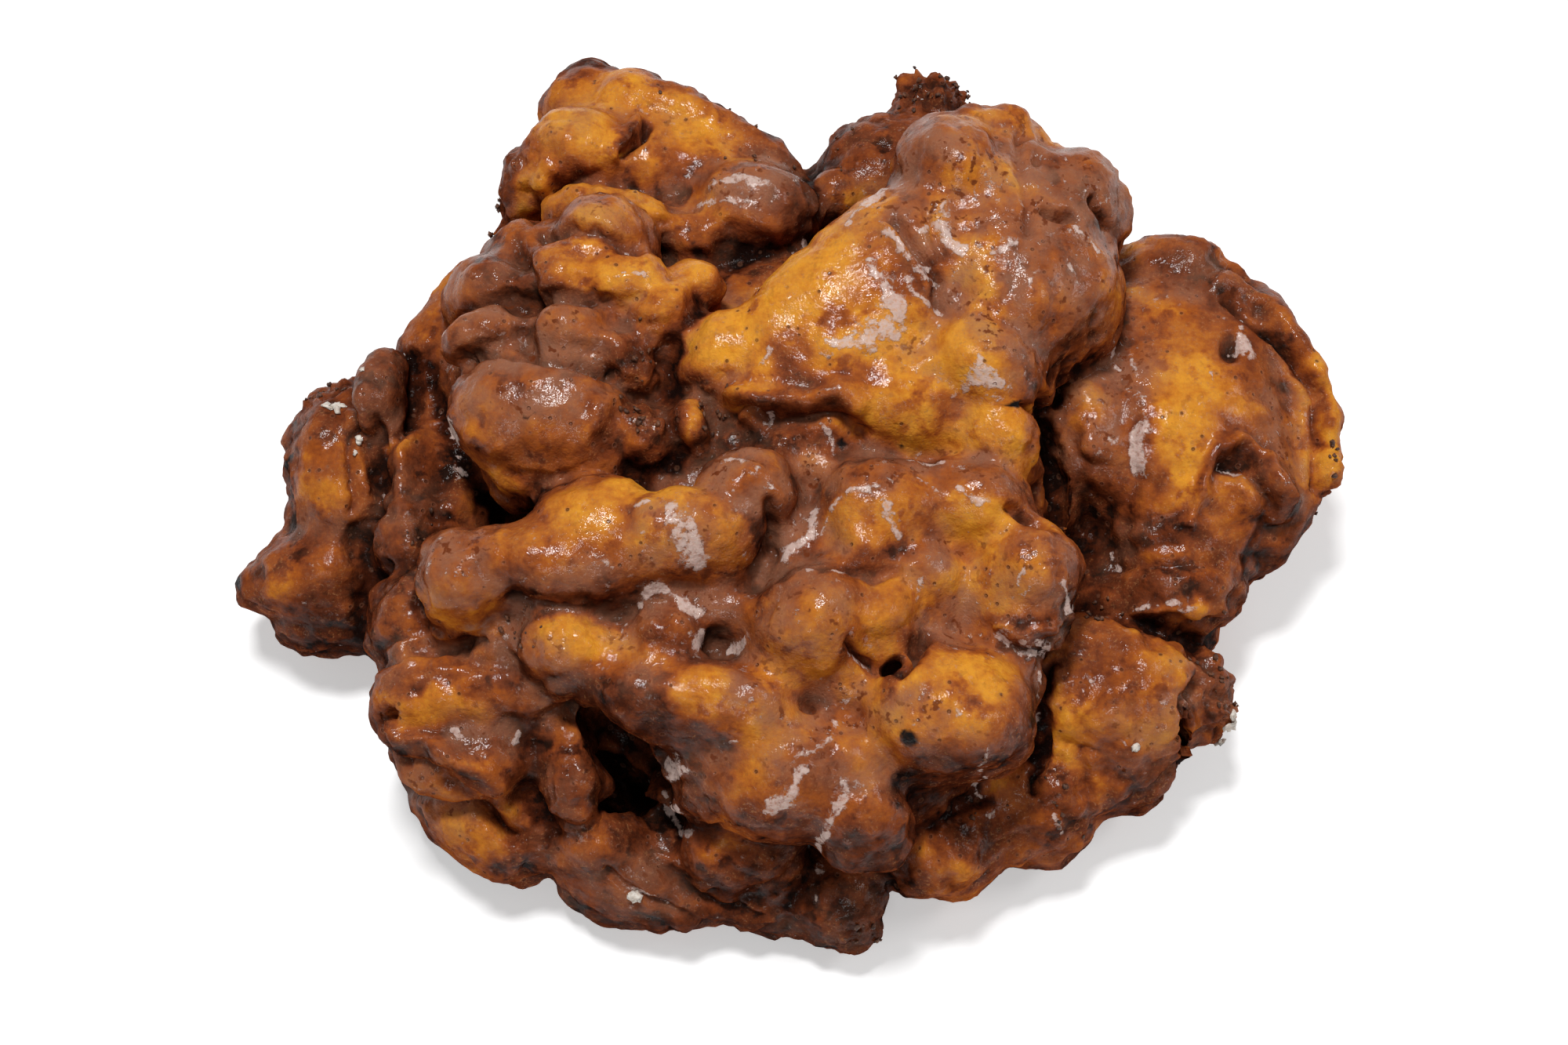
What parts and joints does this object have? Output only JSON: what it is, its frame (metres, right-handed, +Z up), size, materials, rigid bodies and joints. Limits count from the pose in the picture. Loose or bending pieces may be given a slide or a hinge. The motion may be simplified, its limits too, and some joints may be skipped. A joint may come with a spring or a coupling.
{
  "type": "apple fritter",
  "caption": "Large irregular fried apple fritter: fused golden and brown lumps of yeast dough under a thin cracked sugar glaze, flat underneath.",
  "frame": {"origin": "centre of the bounding box in plan, on the flat underside that it rests on", "axes": "+X along the longest width, to the right in the picture; +Y away from the camera; +Z up from the rest"},
  "size_m": [0.194, 0.1638, 0.0652],
  "materials": {
    "crust": "fried crust, golden to dark brown, under a thin sugar glaze, satin to glossy"
  },
  "bodies": {
    "root": {"fritter": "crust"}
  },
  "joints": []
}
